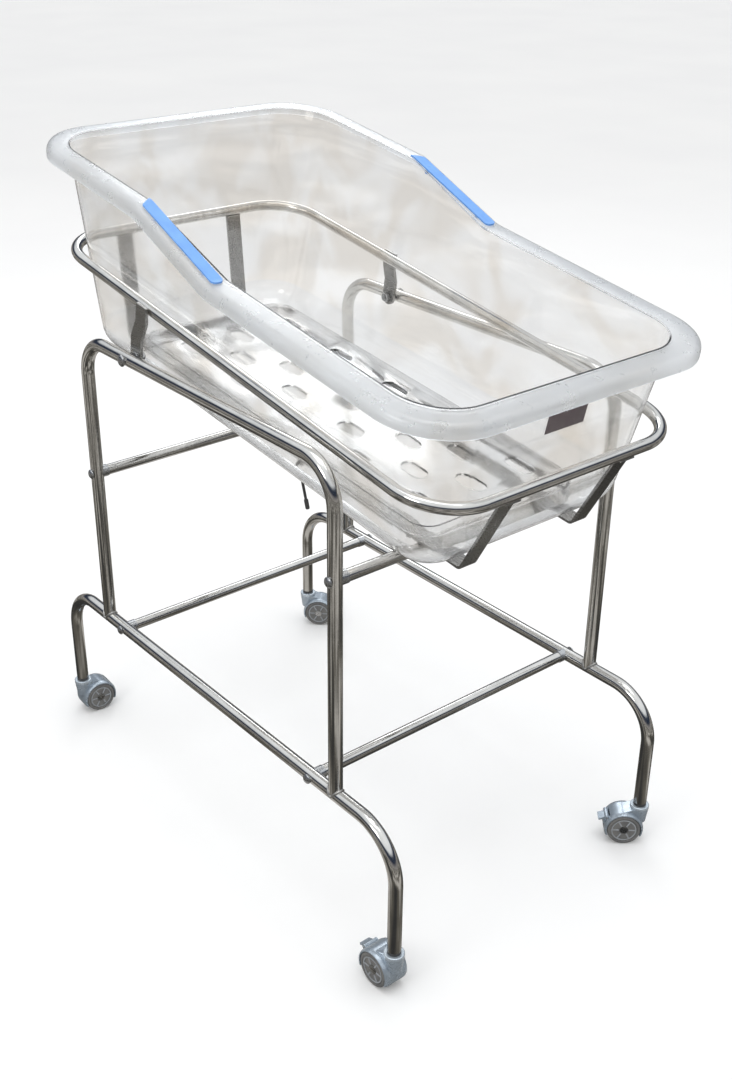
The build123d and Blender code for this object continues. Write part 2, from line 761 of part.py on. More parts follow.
caster_places = {
    "head_left": (-low_rail_half_length, -frame_half_width, head_left_heading, False),
    "head_right": (-low_rail_half_length, frame_half_width, head_right_heading, False),
    "foot_left": (low_rail_half_length, -frame_half_width, foot_left_heading, True),
    "foot_right": (low_rail_half_length, frame_half_width, foot_right_heading, True),
}
tube_bore_r = tube_r - tube_wall
plug_low_z = cap_top_z + side_play
caster_stems = []
caster_plugs = []
for name, (x, y, heading, braked) in caster_places.items():
    place = Pos(x, y, 0) * Rot(0, 0, heading)
    pieces["caster_hood_" + name] = place * hood(braked)
    pieces["caster_cap_" + name] = place * hood_cap()
    pieces["axle_" + name] = place * axle()
    pieces["wheel_left_" + name] = place * wheel(-1)
    pieces["wheel_right_" + name] = place * wheel(1)
    if braked:
        pieces["brake_lever_" + name] = place * brake_lever()
        pin_half = brake_half_width + brake_slot_gap + brake_ear_thick
        pin = along_y(brake_pin_d / 2, -pin_half, pin_half, brake_pin_x, brake_pin_z)
        pieces["brake_pin_" + name] = place * pin
    caster_stems.append(upright(stem_d / 2, stem_bottom_z, stem_top_z, x, y))
    plug = upright(tube_r, plug_low_z, low_rail_end_z - fit_gap, x, y)
    plug += upright(tube_bore_r - fit_gap, plug_low_z, stem_plug_top_z, x, y)
    caster_plugs.append(plug - upright(stem_d / 2 + fit_gap / 2, plug_low_z - 1, stem_plug_top_z + 1, x, y))
pieces["caster_stems"] = caster_stems
pieces["caster_plugs"] = caster_plugs

# The origin lies on the floor under the middle of the whole bassinet's bounding box
boxes = []
for piece in pieces.values():
    group = piece if isinstance(piece, list) else [piece]
    boxes += [solid.bounding_box() for solid in group]
low_x = min(box.min.X for box in boxes)
high_x = max(box.max.X for box in boxes)
low_y = min(box.min.Y for box in boxes)
high_y = max(box.max.Y for box in boxes)
low_z = min(box.min.Z for box in boxes)
to_origin = Pos(-(low_x + high_x) / 2, -(low_y + high_y) / 2, -low_z)

os.makedirs("parts", exist_ok=True)
for name, piece in pieces.items():
    group = piece if isinstance(piece, list) else [piece]
    moved = [to_origin * solid for solid in group]
    node = moved[0] if len(moved) == 1 else Compound(children=moved)
    export_step(node, "parts/" + name + ".step")
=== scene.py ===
import math
import bmesh
import bpy
from mathutils import Matrix, Vector


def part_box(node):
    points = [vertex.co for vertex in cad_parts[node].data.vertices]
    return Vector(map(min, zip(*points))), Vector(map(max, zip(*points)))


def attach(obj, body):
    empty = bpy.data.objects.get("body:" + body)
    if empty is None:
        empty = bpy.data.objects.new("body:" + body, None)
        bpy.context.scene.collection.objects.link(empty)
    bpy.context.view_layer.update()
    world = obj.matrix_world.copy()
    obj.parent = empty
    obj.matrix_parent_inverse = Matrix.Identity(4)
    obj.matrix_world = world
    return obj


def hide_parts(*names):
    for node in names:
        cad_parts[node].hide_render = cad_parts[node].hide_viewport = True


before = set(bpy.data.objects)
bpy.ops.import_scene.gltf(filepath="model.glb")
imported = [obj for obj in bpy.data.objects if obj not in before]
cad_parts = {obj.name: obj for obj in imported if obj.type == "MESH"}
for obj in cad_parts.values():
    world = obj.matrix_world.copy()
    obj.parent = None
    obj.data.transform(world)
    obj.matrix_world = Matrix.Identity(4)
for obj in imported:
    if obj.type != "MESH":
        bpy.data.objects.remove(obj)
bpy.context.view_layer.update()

# The room: a pale floor under soft lamps, seen from above the bassinet's foot end and left side.
# Its sky is bright overhead and dim towards the sides, so polished tube shows light and dark bands.


def put(tree, kind, wires=None, **settings):
    """Adds a node with its properties, and gives each input a value or another node's output."""
    made = tree.nodes.new(kind)
    for name, value in settings.items():
        setattr(made, name, value)
    for name, value in (wires or {}).items():
        if isinstance(value, bpy.types.NodeSocket):
            tree.links.new(value, made.inputs[name])
        else:
            made.inputs[name].default_value = value
    return made


def ramp(tree, fac, stops):
    """Colour ramp through (place, colour) stops."""
    made = put(tree, "ShaderNodeValToRGB", {"Fac": fac})
    band = made.color_ramp
    for place, colour in stops[1:-1]:
        band.elements.new(place).color = (*colour, 1)
    band.elements[0].position, band.elements[-1].position = stops[0][0], stops[-1][0]
    band.elements[0].color, band.elements[-1].color = (*stops[0][1], 1), (*stops[-1][1], 1)
    return made.outputs["Color"]


def new_material(name):
    """Empty node material, its tree and its output node."""
    made = bpy.data.materials.new(name)
    made.use_nodes = True
    made.node_tree.nodes.clear()
    return made, made.node_tree, made.node_tree.nodes.new("ShaderNodeOutputMaterial")


def new_object(name, mesh):
    """Object at the origin that shows a mesh."""
    made = bpy.data.objects.new(name, mesh)
    bpy.context.scene.collection.objects.link(made)
    return made


# Reflections see a painted reflection: a dim floor that glows in dark and bright patches, and a dark-sided
# sky.
# The camera and diffuse light see pale ones. So do most of the rays inside clear plastic.
floor_half = 45.0
floor_mesh = bpy.data.meshes.new("floor")
floor_corners = [(x * floor_half, y * floor_half, 0.0) for x, y in ((-1, -1), (1, -1), (1, 1), (-1, 1))]
floor_mesh.from_pydata(floor_corners, [], [(0, 1, 2, 3)])
floor_paint, tree, out = new_material("pale_floor")
place = put(tree, "ShaderNodeTexCoord").outputs["Object"]
cloud = put(tree, "ShaderNodeTexNoise", {"Vector": place, "Scale": 1.3, "Detail": 4.0}).outputs["Fac"]
floor_colour = ramp(tree, cloud, [(0.3, (0.90, 0.90, 0.90)), (0.7, (0.93, 0.93, 0.925))])
floor_shader = put(tree, "ShaderNodeBsdfPrincipled", {"Base Color": floor_colour, "Roughness": 0.75})
# Painted reflection: reflection rays see the floor glow in dark and bright patches instead of its pale
# colour.
painted_reflection_patches = put(tree, "ShaderNodeTexNoise", {"Vector": place, "Scale": 2.1, "Detail": 3.0, "Distortion": 0.6})
painted_reflection_colour = ramp(
    tree,
    painted_reflection_patches.outputs["Fac"],
    [(0.38, (0.05, 0.05, 0.05)), (0.50, (0.16, 0.15, 0.13)), (0.60, (0.62, 0.60, 0.57))],
)
painted_reflection_glow = put(tree, "ShaderNodeEmission", {"Color": painted_reflection_colour, "Strength": 1.0})
path = put(tree, "ShaderNodeLightPath").outputs
in_plastic = put(tree, "ShaderNodeMath", {0: path["Transmission Depth"], 1: 1.0}, operation="MINIMUM")
held_back = put(tree, "ShaderNodeMath", {0: in_plastic.outputs[0], 1: 0.80}, operation="MULTIPLY")
mirrored = put(
    tree,
    "ShaderNodeMath",
    {0: path["Is Glossy Ray"], 1: held_back.outputs[0]},
    operation="SUBTRACT",
    use_clamp=True,
).outputs[0]
floor_mix = put(
    tree, "ShaderNodeMixShader", {0: mirrored, 1: floor_shader.outputs["BSDF"], 2: painted_reflection_glow.outputs[0]}
)
tree.links.new(floor_mix.outputs[0], out.inputs["Surface"])
floor_mesh.materials.append(floor_paint)
new_object("floor", floor_mesh)

room = bpy.data.worlds.new("room")
room.use_nodes = True
tree = room.node_tree
tree.nodes.clear()
heading = put(tree, "ShaderNodeTexCoord").outputs["Generated"]
height = put(tree, "ShaderNodeSeparateXYZ", {"Vector": heading}).outputs["Z"]
sky = ramp(
    tree,
    put(tree, "ShaderNodeMapRange", {"Value": height, "From Min": -0.1, "From Max": 1.0}).outputs["Result"],
    [
        (0.0, (0.42, 0.40, 0.37)),
        (0.14, (0.26, 0.25, 0.25)),
        (0.26, (0.020, 0.028, 0.050)),
        (0.42, (0.030, 0.040, 0.065)),
        (0.55, (0.74, 0.77, 0.81)),
        (1.0, (0.95, 0.97, 0.99)),
    ],
)
lit = put(tree, "ShaderNodeBackground", {"Color": sky, "Strength": 1.3})
seen = put(tree, "ShaderNodeBackground", {"Color": (0.96, 0.96, 0.96, 1), "Strength": 1.0})
path = put(tree, "ShaderNodeLightPath").outputs
looking = put(
    tree, "ShaderNodeMath", {0: path["Is Camera Ray"], 1: path["Is Transmission Ray"]}, operation="MAXIMUM"
)
unmirrored = put(
    tree, "ShaderNodeMath", {0: looking.outputs[0], 1: path["Is Diffuse Ray"]}, operation="MAXIMUM"
)
in_plastic = put(tree, "ShaderNodeMath", {0: path["Transmission Depth"], 1: 0.7}, operation="MINIMUM")
pale_share = put(
    tree, "ShaderNodeMath", {0: unmirrored.outputs[0], 1: in_plastic.outputs[0]}, operation="MAXIMUM"
)
sky_mix = put(tree, "ShaderNodeMixShader", {0: pale_share.outputs[0], 1: lit.outputs[0], 2: seen.outputs[0]})
put(tree, "ShaderNodeOutputWorld", {"Surface": sky_mix.outputs[0]})
bpy.context.scene.world = room


def softbox(name, place, target, size, watts, colour):
    """Rectangular lamp that faces a point."""
    lamp = bpy.data.lights.new(name, "AREA")
    lamp.shape = "RECTANGLE"
    lamp.size, lamp.size_y = size
    lamp.energy = watts
    lamp.color = colour
    made = bpy.data.objects.new(name, lamp)
    bpy.context.scene.collection.objects.link(made)
    made.location = place
    made.rotation_euler = (Vector(target) - Vector(place)).to_track_quat("-Z", "Y").to_euler()


softbox("lamp_overhead", (0.3, -0.2, 3.2), (0, 0, 0.4), (2.2, 1.4), 20, (0.96, 0.98, 1.0))
softbox("lamp_key", (0.6, -3.0, 2.4), (0, 0, 0.5), (1.2, 0.9), 15, (1.0, 0.99, 0.97))
softbox("lamp_rim", (-2.4, 1.9, 2.6), (0, 0, 0.6), (1.2, 0.9), 12, (0.97, 0.99, 1.0))

camera = bpy.data.cameras.new("camera")
camera.lens = 44.7
camera.sensor_width = 36.0
camera.clip_end = 60.0
camera_heading, camera_dip, camera_roll = (math.radians(a) for a in (50.38, 27.43, 0.53))
camera_place = (1.3604, -1.1067, 1.3262)
camera_object = bpy.data.objects.new("camera", camera)
bpy.context.scene.collection.objects.link(camera_object)
look = Matrix.Rotation(camera_heading, 4, "Z") @ Matrix.Rotation(math.pi / 2 - camera_dip, 4, "X")
look @= Matrix.Rotation(camera_roll, 4, "Z")
camera_object.matrix_world = Matrix.Translation(camera_place) @ look
bpy.context.scene.camera = camera_object
bpy.context.scene.view_settings.view_transform = "Standard"

# Lower rails: stainless tube, bent down at both ends to carry the casters, then polished along its length.
# Each is one length of 19 mm tube. The cross bars are bolted between the two rails.


def polish_group():
    """Fine lengthwise polishing marks and soft smears on bright metal."""
    group = bpy.data.node_groups.new("polish_marks", "ShaderNodeTree")
    for name, kind in (("Place", "Vector"), ("Fineness", "Float"), ("Depth", "Float")):
        group.interface.new_socket(name, in_out="INPUT", socket_type="NodeSocket" + kind)
    for name, kind in (("Marks", "Float"), ("Smears", "Float"), ("Normal", "Vector")):
        group.interface.new_socket(name, in_out="OUTPUT", socket_type="NodeSocket" + kind)
    given = group.nodes.new("NodeGroupInput").outputs
    stretch = put(group, "ShaderNodeCombineXYZ", {"X": 0.02, "Y": 1.0, "Z": 1.0}).outputs[0]
    drawn = put(group, "ShaderNodeVectorMath", {0: given["Place"], 1: stretch}, operation="MULTIPLY")
    marks = put(
        group,
        "ShaderNodeTexNoise",
        {"Vector": drawn.outputs[0], "Scale": given["Fineness"], "Detail": 3.0, "Roughness": 0.6},
    ).outputs["Fac"]
    smears = put(
        group,
        "ShaderNodeTexNoise",
        {"Vector": given["Place"], "Scale": 14.0, "Detail": 4.0, "Roughness": 0.62},
    ).outputs["Fac"]
    waves = put(
        group, "ShaderNodeTexNoise", {"Vector": given["Place"], "Scale": 55.0, "Detail": 1.0}
    ).outputs["Fac"]
    dents = put(group, "ShaderNodeBump", {"Height": waves, "Strength": 0.12, "Distance": 0.0008})
    scratch = put(
        group,
        "ShaderNodeBump",
        {"Height": marks, "Strength": given["Depth"], "Distance": 0.0001, "Normal": dents.outputs[0]},
    )
    result = group.nodes.new("NodeGroupOutput").inputs
    group.links.new(marks, result["Marks"])
    group.links.new(smears, result["Smears"])
    group.links.new(scratch.outputs[0], result["Normal"])
    return group


polish_marks = polish_group()


def metal(name, tint, rough, fineness=900.0, depth=0.25, along_tube=False):
    """Bright metal with polishing marks, along the tube's run or in the piece's own space."""
    made, tree, out = new_material(name)
    if along_tube:
        place = put(tree, "ShaderNodeAttribute", attribute_name="tube_run").outputs["Vector"]
    else:
        place = put(tree, "ShaderNodeTexCoord").outputs["Object"]
    marks = put(tree, "ShaderNodeGroup", node_tree=polish_marks)
    tree.links.new(place, marks.inputs["Place"])
    marks.inputs["Fineness"].default_value = fineness
    marks.inputs["Depth"].default_value = depth
    dull = tuple(c * 0.80 for c in tint)
    colour = ramp(tree, marks.outputs["Smears"], [(0.35, dull), (0.62, tint)])
    spread = put(
        tree,
        "ShaderNodeMapRange",
        {
            "Value": marks.outputs["Marks"],
            "From Min": 0.3,
            "From Max": 0.75,
            "To Min": rough * 0.75,
            "To Max": rough * 1.5,
        },
    ).outputs["Result"]
    hazed = put(
        tree,
        "ShaderNodeMapRange",
        {"Value": marks.outputs["Smears"], "From Min": 0.35, "From Max": 0.7, "To Min": 0.06, "To Max": 0.0},
    ).outputs["Result"]
    rough_sum = put(tree, "ShaderNodeMath", {0: spread, 1: hazed}, operation="ADD").outputs[0]
    shader = put(
        tree,
        "ShaderNodeBsdfPrincipled",
        {"Base Color": colour, "Metallic": 1.0, "Roughness": rough_sum, "Normal": marks.outputs["Normal"]},
    )
    tree.links.new(shader.outputs["BSDF"], out.inputs["Surface"])
    return made


def tube_tree():
    """Round tube along a path whose corners are bent to a radius."""
    tree = bpy.data.node_groups.new("tube_along_path", "GeometryNodeTree")
    tree.is_modifier = True
    for name, kind in (
        ("Path", "Geometry"),
        ("Tube radius", "Float"),
        ("Bend radius", "Float"),
        ("Bend steps", "Int"),
        ("Sides", "Int"),
        ("Finish", "Material"),
    ):
        tree.interface.new_socket(name, in_out="INPUT", socket_type="NodeSocket" + kind)
    tree.interface.new_socket("Tube", in_out="OUTPUT", socket_type="NodeSocketGeometry")
    given = tree.nodes.new("NodeGroupInput").outputs
    route = put(tree, "GeometryNodeMeshToCurve", {"Mesh": given["Path"]})
    bent = put(
        tree,
        "GeometryNodeFilletCurve",
        {"Curve": route.outputs[0], "Count": given["Bend steps"], "Radius": given["Bend radius"]},
        mode="POLY",
    )
    length = put(tree, "GeometryNodeSplineParameter").outputs["Length"]
    measured = put(tree, "GeometryNodeCaptureAttribute", {"Geometry": bent.outputs[0]}, domain="POINT")
    measured.capture_items.new("FLOAT", "length")
    tree.links.new(length, measured.inputs[1])
    circle = put(
        tree,
        "GeometryNodeCurvePrimitiveCircle",
        {"Resolution": given["Sides"], "Radius": given["Tube radius"]},
    )
    around = put(tree, "GeometryNodeCaptureAttribute", {"Geometry": circle.outputs[0]}, domain="POINT")
    around.capture_items.new("VECTOR", "around")
    tree.links.new(put(tree, "GeometryNodeInputPosition").outputs[0], around.inputs[1])
    tube = put(
        tree,
        "GeometryNodeCurveToMesh",
        {"Curve": measured.outputs[0], "Profile Curve": around.outputs[0], "Fill Caps": True},
    )
    split = put(tree, "ShaderNodeSeparateXYZ", {"Vector": around.outputs[1]})
    run = put(
        tree,
        "ShaderNodeCombineXYZ",
        {"X": measured.outputs[1], "Y": split.outputs["X"], "Z": split.outputs["Y"]},
    )
    kept = put(
        tree,
        "GeometryNodeStoreNamedAttribute",
        {"Geometry": tube.outputs[0], "Name": "tube_run", "Value": run.outputs[0]},
        data_type="FLOAT_VECTOR",
        domain="POINT",
    )
    smooth = put(tree, "GeometryNodeSetShadeSmooth", {"Geometry": kept.outputs[0]})
    real = put(tree, "GeometryNodeRealizeInstances", {"Geometry": smooth.outputs[0]})
    dressed = put(tree, "GeometryNodeSetMaterial", {"Geometry": real.outputs[0], "Material": given["Finish"]})
    tree.links.new(dressed.outputs[0], tree.nodes.new("NodeGroupOutput").inputs[0])
    return tree


tube_along_path = tube_tree()
tube_sharp_angle = math.radians(40)


def grown(name, mesh, tree, values):
    """Object whose mesh is what a geometry tree makes of another mesh."""
    made = new_object(name, mesh)
    change = made.modifiers.new("grow", "NODES")
    change.node_group = tree
    for item in tree.interface.items_tree:
        if item.name in values:
            change[item.identifier] = values[item.name]
    whole = bpy.data.meshes.new_from_object(made.evaluated_get(bpy.context.evaluated_depsgraph_get()))
    made.modifiers.clear()
    made.data = whole
    whole.set_sharp_from_angle(angle=tube_sharp_angle)
    return made


def tube(name, points, radius, bend, finish, closed=False, sides=40, steps=18):
    """Tube through points, each corner bent to the same radius."""
    route = bpy.data.meshes.new(name)
    count = len(points)
    links = [(i, (i + 1) % count) for i in range(count if closed else count - 1)]
    route.from_pydata(points, links, [])
    values = {
        "Tube radius": radius,
        "Bend radius": bend,
        "Bend steps": steps,
        "Sides": sides,
        "Finish": finish,
    }
    return grown(name, route, tube_along_path, values)


def fit(piece, body, slot, *nodes):
    """Lets a finished piece move with a body and stand for its CAD nodes."""
    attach(piece, body)
    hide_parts(*nodes)
    return piece


tube_steel = metal("polished_tube", (0.66, 0.65, 0.625), 0.085, along_tube=True)
tube_r, rail_bend, hoop_bend = 0.0095, 0.070, 0.055
rail_low, rail_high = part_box("lower_rail_left")
far_low, far_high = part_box("lower_rail_right")
left_y = (rail_low.y + rail_high.y) / 2
right_y = (far_low.y + far_high.y) / 2
mid_x = (rail_low.x + rail_high.x) / 2
rail_half = rail_high.x - mid_x - tube_r
rail_z = rail_high.z - tube_r
for side, y in (("left", left_y), ("right", right_y)):
    route = [
        (mid_x - rail_half, y, rail_low.z),
        (mid_x - rail_half, y, rail_z),
        (mid_x + rail_half, y, rail_z),
        (mid_x + rail_half, y, rail_low.z),
    ]
    rail = tube("rail_tube_" + side, route, tube_r, rail_bend, tube_steel)
    fit(rail, "base", "tube_steel", "lower_rail_" + side)

# Upper hoops: the same tube bent to an upturned U, its two legs cut to the rail's round and welded to it.
# They carry the cradle's pivot bolts and the upper cross bars.
hoop_low, hoop_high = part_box("upper_hoop_left")
hoop_half = (hoop_high.x - hoop_low.x) / 2 - tube_r
hoop_z = hoop_high.z - tube_r
for side, y in (("left", left_y), ("right", right_y)):
    route = [
        (mid_x - hoop_half, y, rail_z),
        (mid_x - hoop_half, y, hoop_z),
        (mid_x + hoop_half, y, hoop_z),
        (mid_x + hoop_half, y, rail_z),
    ]
    hoop = tube("hoop_tube_" + side, route, tube_r, hoop_bend, tube_steel)
    fit(hoop, "base", "tube_steel", "upper_hoop_" + side)

weld_bead = metal("weld_bead", (0.50, 0.49, 0.47), 0.32, fineness=300.0, depth=0.6)


def bead(name, points, radius, body, closed=False):
    """Weld bead of round section along a path, which moves with a body."""
    made = tube(name, points, radius, 0.0, weld_bead, closed=closed, sides=8, steps=1)
    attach(made, body)


ripple = 0.0002
leg_seam_steps, leg_seam_out, leg_seam_lift, leg_bead_r = 48, 0.0004, 0.0006, 0.0016
for side, y in (("left", left_y), ("right", right_y)):
    for end, end_name in ((-1, "_head"), (1, "_foot")):
        x = mid_x + end * hoop_half
        seam = []
        for step in range(leg_seam_steps):
            turn = 2 * math.pi * step / leg_seam_steps
            reach = tube_r + leg_seam_out + ripple * (step % 2)
            across = reach * math.sin(turn)
            saddle = math.sqrt(tube_r**2 - min(abs(across), tube_r) ** 2)
            seam.append((x + reach * math.cos(turn), y + across, rail_z + saddle + leg_seam_lift))
        bead("leg_weld_" + side + end_name, seam, leg_bead_r, "base", closed=True)

# Cross bars: four straight lengths of 16 mm tube that hold the two side frames apart.
# A threaded plug in each end takes a domed bolt, and a saddle fits the end to the round side tube.
bar_r = 0.008
for node in ("upper_head_bar", "upper_foot_bar", "lower_head_bar", "lower_foot_bar"):
    low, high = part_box(node)
    x, z = (low.x + high.x) / 2, (low.z + high.z) / 2
    bar = tube(node + "_tube", [(x, low.y, z), (x, high.y, z)], bar_r, 0.0, tube_steel)
    fit(bar, "base", "tube_steel", node)


join_reach = 1e-6
flat_angle, edge_angle, softened_angle = (math.radians(a) for a in (0.4, 32, 70))


def finished(node, finish, body, slot, edge):
    """Piece with a CAD node's shape, its faces joined, its edges softened and its curves smooth."""
    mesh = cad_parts[node].data.copy()
    work = bmesh.new()
    work.from_mesh(mesh)
    bmesh.ops.remove_doubles(work, verts=work.verts, dist=join_reach)
    bmesh.ops.dissolve_degenerate(work, edges=work.edges, dist=join_reach)
    if edge:
        bmesh.ops.dissolve_limit(work, angle_limit=flat_angle, verts=work.verts, edges=work.edges)
    for face in work.faces:
        face.smooth = True
    work.to_mesh(mesh)
    work.free()
    mesh.materials.clear()
    mesh.materials.append(finish)
    made = new_object(node + "_piece", mesh)
    if edge:
        soften = made.modifiers.new("soften", "BEVEL")
        soften.width = edge
        soften.segments = 2
        soften.limit_method = "ANGLE"
        soften.angle_limit = edge_angle
        soften.use_clamp_overlap = True
    level = made.modifiers.new("level", "WEIGHTED_NORMAL")
    level.keep_sharp = True
    level.mode = "FACE_AREA_WITH_ANGLE"
    level.weight = 90
    mesh.set_sharp_from_angle(angle=softened_angle if edge else edge_angle)
    whole = bpy.data.meshes.new_from_object(made.evaluated_get(bpy.context.evaluated_depsgraph_get()))
    made.modifiers.clear()
    made.data = whole
    return fit(made, body, slot, node)


plated = metal("plated_steel", (0.52, 0.53, 0.54), 0.22, fineness=600.0)


def moulding_group():
    """Faint flow marks and fine grain of moulded plastic, with soft handling smears."""
    group = bpy.data.node_groups.new("moulding_marks", "ShaderNodeTree")
    for name, kind in (("Place", "Vector"), ("Grain", "Float"), ("Depth", "Float")):
        group.interface.new_socket(name, in_out="INPUT", socket_type="NodeSocket" + kind)
    for name, kind in (("Flow", "Float"), ("Smears", "Float"), ("Normal", "Vector")):
        group.interface.new_socket(name, in_out="OUTPUT", socket_type="NodeSocket" + kind)
    given = group.nodes.new("NodeGroupInput").outputs
    flow = put(
        group,
        "ShaderNodeTexNoise",
        {"Vector": given["Place"], "Scale": 9.0, "Detail": 2.0, "Distortion": 0.8},
    ).outputs["Fac"]
    smears = put(
        group,
        "ShaderNodeTexNoise",
        {"Vector": given["Place"], "Scale": 45.0, "Detail": 5.0, "Roughness": 0.65},
    ).outputs["Fac"]
    grain = put(
        group, "ShaderNodeTexNoise", {"Vector": given["Place"], "Scale": given["Grain"], "Detail": 2.0}
    ).outputs["Fac"]
    swell = put(group, "ShaderNodeBump", {"Height": flow, "Strength": 0.10, "Distance": 0.002})
    skin = put(
        group,
        "ShaderNodeBump",
        {"Height": grain, "Strength": given["Depth"], "Distance": 0.0001, "Normal": swell.outputs[0]},
    )
    result = group.nodes.new("NodeGroupOutput").inputs
    group.links.new(flow, result["Flow"])
    group.links.new(smears, result["Smears"])
    group.links.new(skin.outputs[0], result["Normal"])
    return group


moulding_marks = moulding_group()


def plastic(name, tint, worn, rough, grain=1800.0, depth=0.35, coat=0.0, metallic=0.0):
    """Moulded plastic or rubber whose colour and gloss vary with handling."""
    made, tree, out = new_material(name)
    marks = put(tree, "ShaderNodeGroup", node_tree=moulding_marks)
    tree.links.new(put(tree, "ShaderNodeTexCoord").outputs["Object"], marks.inputs["Place"])
    marks.inputs["Grain"].default_value = grain
    marks.inputs["Depth"].default_value = depth
    colour = ramp(tree, marks.outputs["Smears"], [(0.3, worn), (0.6, tint)])
    spread = put(
        tree,
        "ShaderNodeMapRange",
        {
            "Value": marks.outputs["Smears"],
            "From Min": 0.3,
            "From Max": 0.7,
            "To Min": rough * 1.35,
            "To Max": rough * 0.8,
        },
    ).outputs["Result"]
    shader = put(
        tree,
        "ShaderNodeBsdfPrincipled",
        {
            "Base Color": colour,
            "Roughness": spread,
            "Normal": marks.outputs["Normal"],
            "Metallic": metallic,
            "Coat Weight": coat,
            "Coat Roughness": 0.12,
        },
    )
    tree.links.new(shader.outputs["BSDF"], out.inputs["Surface"])
    return made


black_plastic = plastic("black_plastic", (0.030, 0.030, 0.032), (0.055, 0.053, 0.052), 0.42)
finished("bar_saddles", plated, "base", "black_plastic", edge=0.0003)
finished("bar_plugs", plated, "base", "plated_steel", edge=0.0)
finished("bar_bolts", plated, "base", "plated_steel", edge=0.0002)

# Cradle ring: one loop of 16 mm stainless tube, bent at four corners and welded shut.
# It hangs between the side frames, tilted to the foot, with the tub inside it.
ring_r, ring_bend = 0.008, 0.075
tilt = math.radians(9.05)
ring_low, ring_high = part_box("cradle_ring")
ring_half_length = 0.421
ring_half_width = (ring_high.y - ring_low.y) / 2 - ring_r
ring_mid = (ring_low + ring_high) / 2
ring_turn = Matrix.Translation(ring_mid) @ Matrix.Rotation(tilt, 4, "Y")
ring_route = [
    ring_turn @ Vector((x * ring_half_length, y * ring_half_width, 0))
    for x, y in ((-1, -1), (1, -1), (1, 1), (-1, 1))
]
ring = tube("ring_tube", ring_route, ring_r, ring_bend, tube_steel, closed=True, steps=28)
fit(ring, "cradle", "tube_steel", "cradle_ring")

# Straps: two flat stainless bars bent to a trough under the tub and welded under the ring's ends.
# Flat brackets welded to the ring's flanks hang on the pivot bolts, and a small lug holds the stay rod.
flat_steel = metal("flat_steel", (0.40, 0.395, 0.385), 0.24, fineness=500.0, depth=0.4)
for node in ("strap_left", "strap_right", "pivot_bracket_left", "pivot_bracket_right"):
    finished(node, flat_steel, "cradle", "flat_steel", edge=0.0005)
finished("stay_lug", flat_steel, "cradle", "flat_steel", edge=0.0004)

strap_v, strap_seam, strap_seam_steps = 0.097, 0.024, 12
strap_seam_u, strap_seam_drop, strap_bead_r = 0.00416, 0.0002, 0.0013
for side, across in (("left", -strap_v), ("right", strap_v)):
    for end, end_name in ((-1, "_head"), (1, "_foot")):
        for off, off_name in ((-strap_seam_u, "_in"), (strap_seam_u, "_out")):
            seam = []
            for step in range(strap_seam_steps + 1):
                u = end * ring_half_length + off + ripple * (step % 2)
                spot = ring_turn @ Vector((u, 0, -ring_r - strap_seam_drop))
                y = ring_mid.y + across + (step / strap_seam_steps - 0.5) * strap_seam
                seam.append((spot.x, y, spot.z))
            bead("strap_weld_" + side + end_name + off_name, seam, strap_bead_r, "cradle")

# Pivot: a domed bolt through each hoop's top run, with a washer and a nut behind the bracket.
# The bolts stay still in the hoops, and the brackets turn on them.
finished("pivot_bolts", plated, "base", "plated_steel", edge=0.0003)
finished("pivot_washers", plated, "base", "plated_steel", edge=0.0002)
finished("pivot_nuts", plated, "base", "plated_steel", edge=0.0002)

# Stay rod: a thin black coated rod hooked through the lug, with a plastic tip and a retaining washer.
# It swings up along the left strap when it is not in use.
black_rod = plastic("black_coating", (0.018, 0.018, 0.020), (0.05, 0.048, 0.045), 0.36, grain=900.0, coat=0.3)
finished("stay_rod", black_rod, "stay", "black_rod", edge=0.0)
finished("stay_tip", black_plastic, "stay", "black_plastic", edge=0.0)
finished("stay_washer", plated, "stay", "plated_steel", edge=0.0001)

# Tub: one clear injection-moulded shell with a turned-down flange and a raised, vented floor.
# Its high sides at the head end slope down to lower sides at the foot end. It sits loose in the ring.


def clear_moulding(name, tints, smooth, hazy, rippled=True):
    """Clear plastic, tinted and hazed in soft patches, that lets the lamps' light through."""
    made, tree, out = new_material(name)
    marks = put(tree, "ShaderNodeGroup", node_tree=moulding_marks)
    tree.links.new(put(tree, "ShaderNodeTexCoord").outputs["Object"], marks.inputs["Place"])
    marks.inputs["Grain"].default_value = 600.0
    marks.inputs["Depth"].default_value = 0.08
    tint = ramp(tree, marks.outputs["Flow"], list(zip((0.36, 0.50, 0.62), tints)))
    rough = put(
        tree,
        "ShaderNodeMapRange",
        {
            "Value": marks.outputs["Smears"],
            "From Min": 0.35,
            "From Max": 0.7,
            "To Min": smooth,
            "To Max": hazy,
        },
    ).outputs["Result"]
    body = put(
        tree,
        "ShaderNodeBsdfPrincipled",
        {"Base Color": tint, "Roughness": rough, "IOR": 1.5, "Transmission Weight": 1.0},
    )
    if rippled:
        tree.links.new(marks.outputs["Normal"], body.inputs["Normal"])
    lamps_through = put(tree, "ShaderNodeBsdfTransparent", {"Color": (0.90, 0.91, 0.92, 1)})
    shadow_ray = put(tree, "ShaderNodeLightPath").outputs["Is Shadow Ray"]
    lit = put(tree, "ShaderNodeMixShader", {0: shadow_ray, 1: body.outputs[0], 2: lamps_through.outputs[0]})
    tree.links.new(lit.outputs[0], out.inputs["Surface"])
    return made


clear_wall = clear_moulding(
    "clear_wall", ((0.88, 0.85, 0.81), (0.95, 0.945, 0.935), (0.975, 0.98, 0.985)), 0.02, 0.07
)
clear_flange = clear_moulding(
    "clear_flange",
    ((0.835, 0.86, 0.885), (0.865, 0.89, 0.915), (0.89, 0.915, 0.94)),
    0.26,
    0.34,
    rippled=False,
)
clear_floor = clear_moulding(
    "clear_floor", ((0.86, 0.855, 0.85), (0.90, 0.905, 0.91), (0.93, 0.94, 0.95)), 0.05, 0.12
)


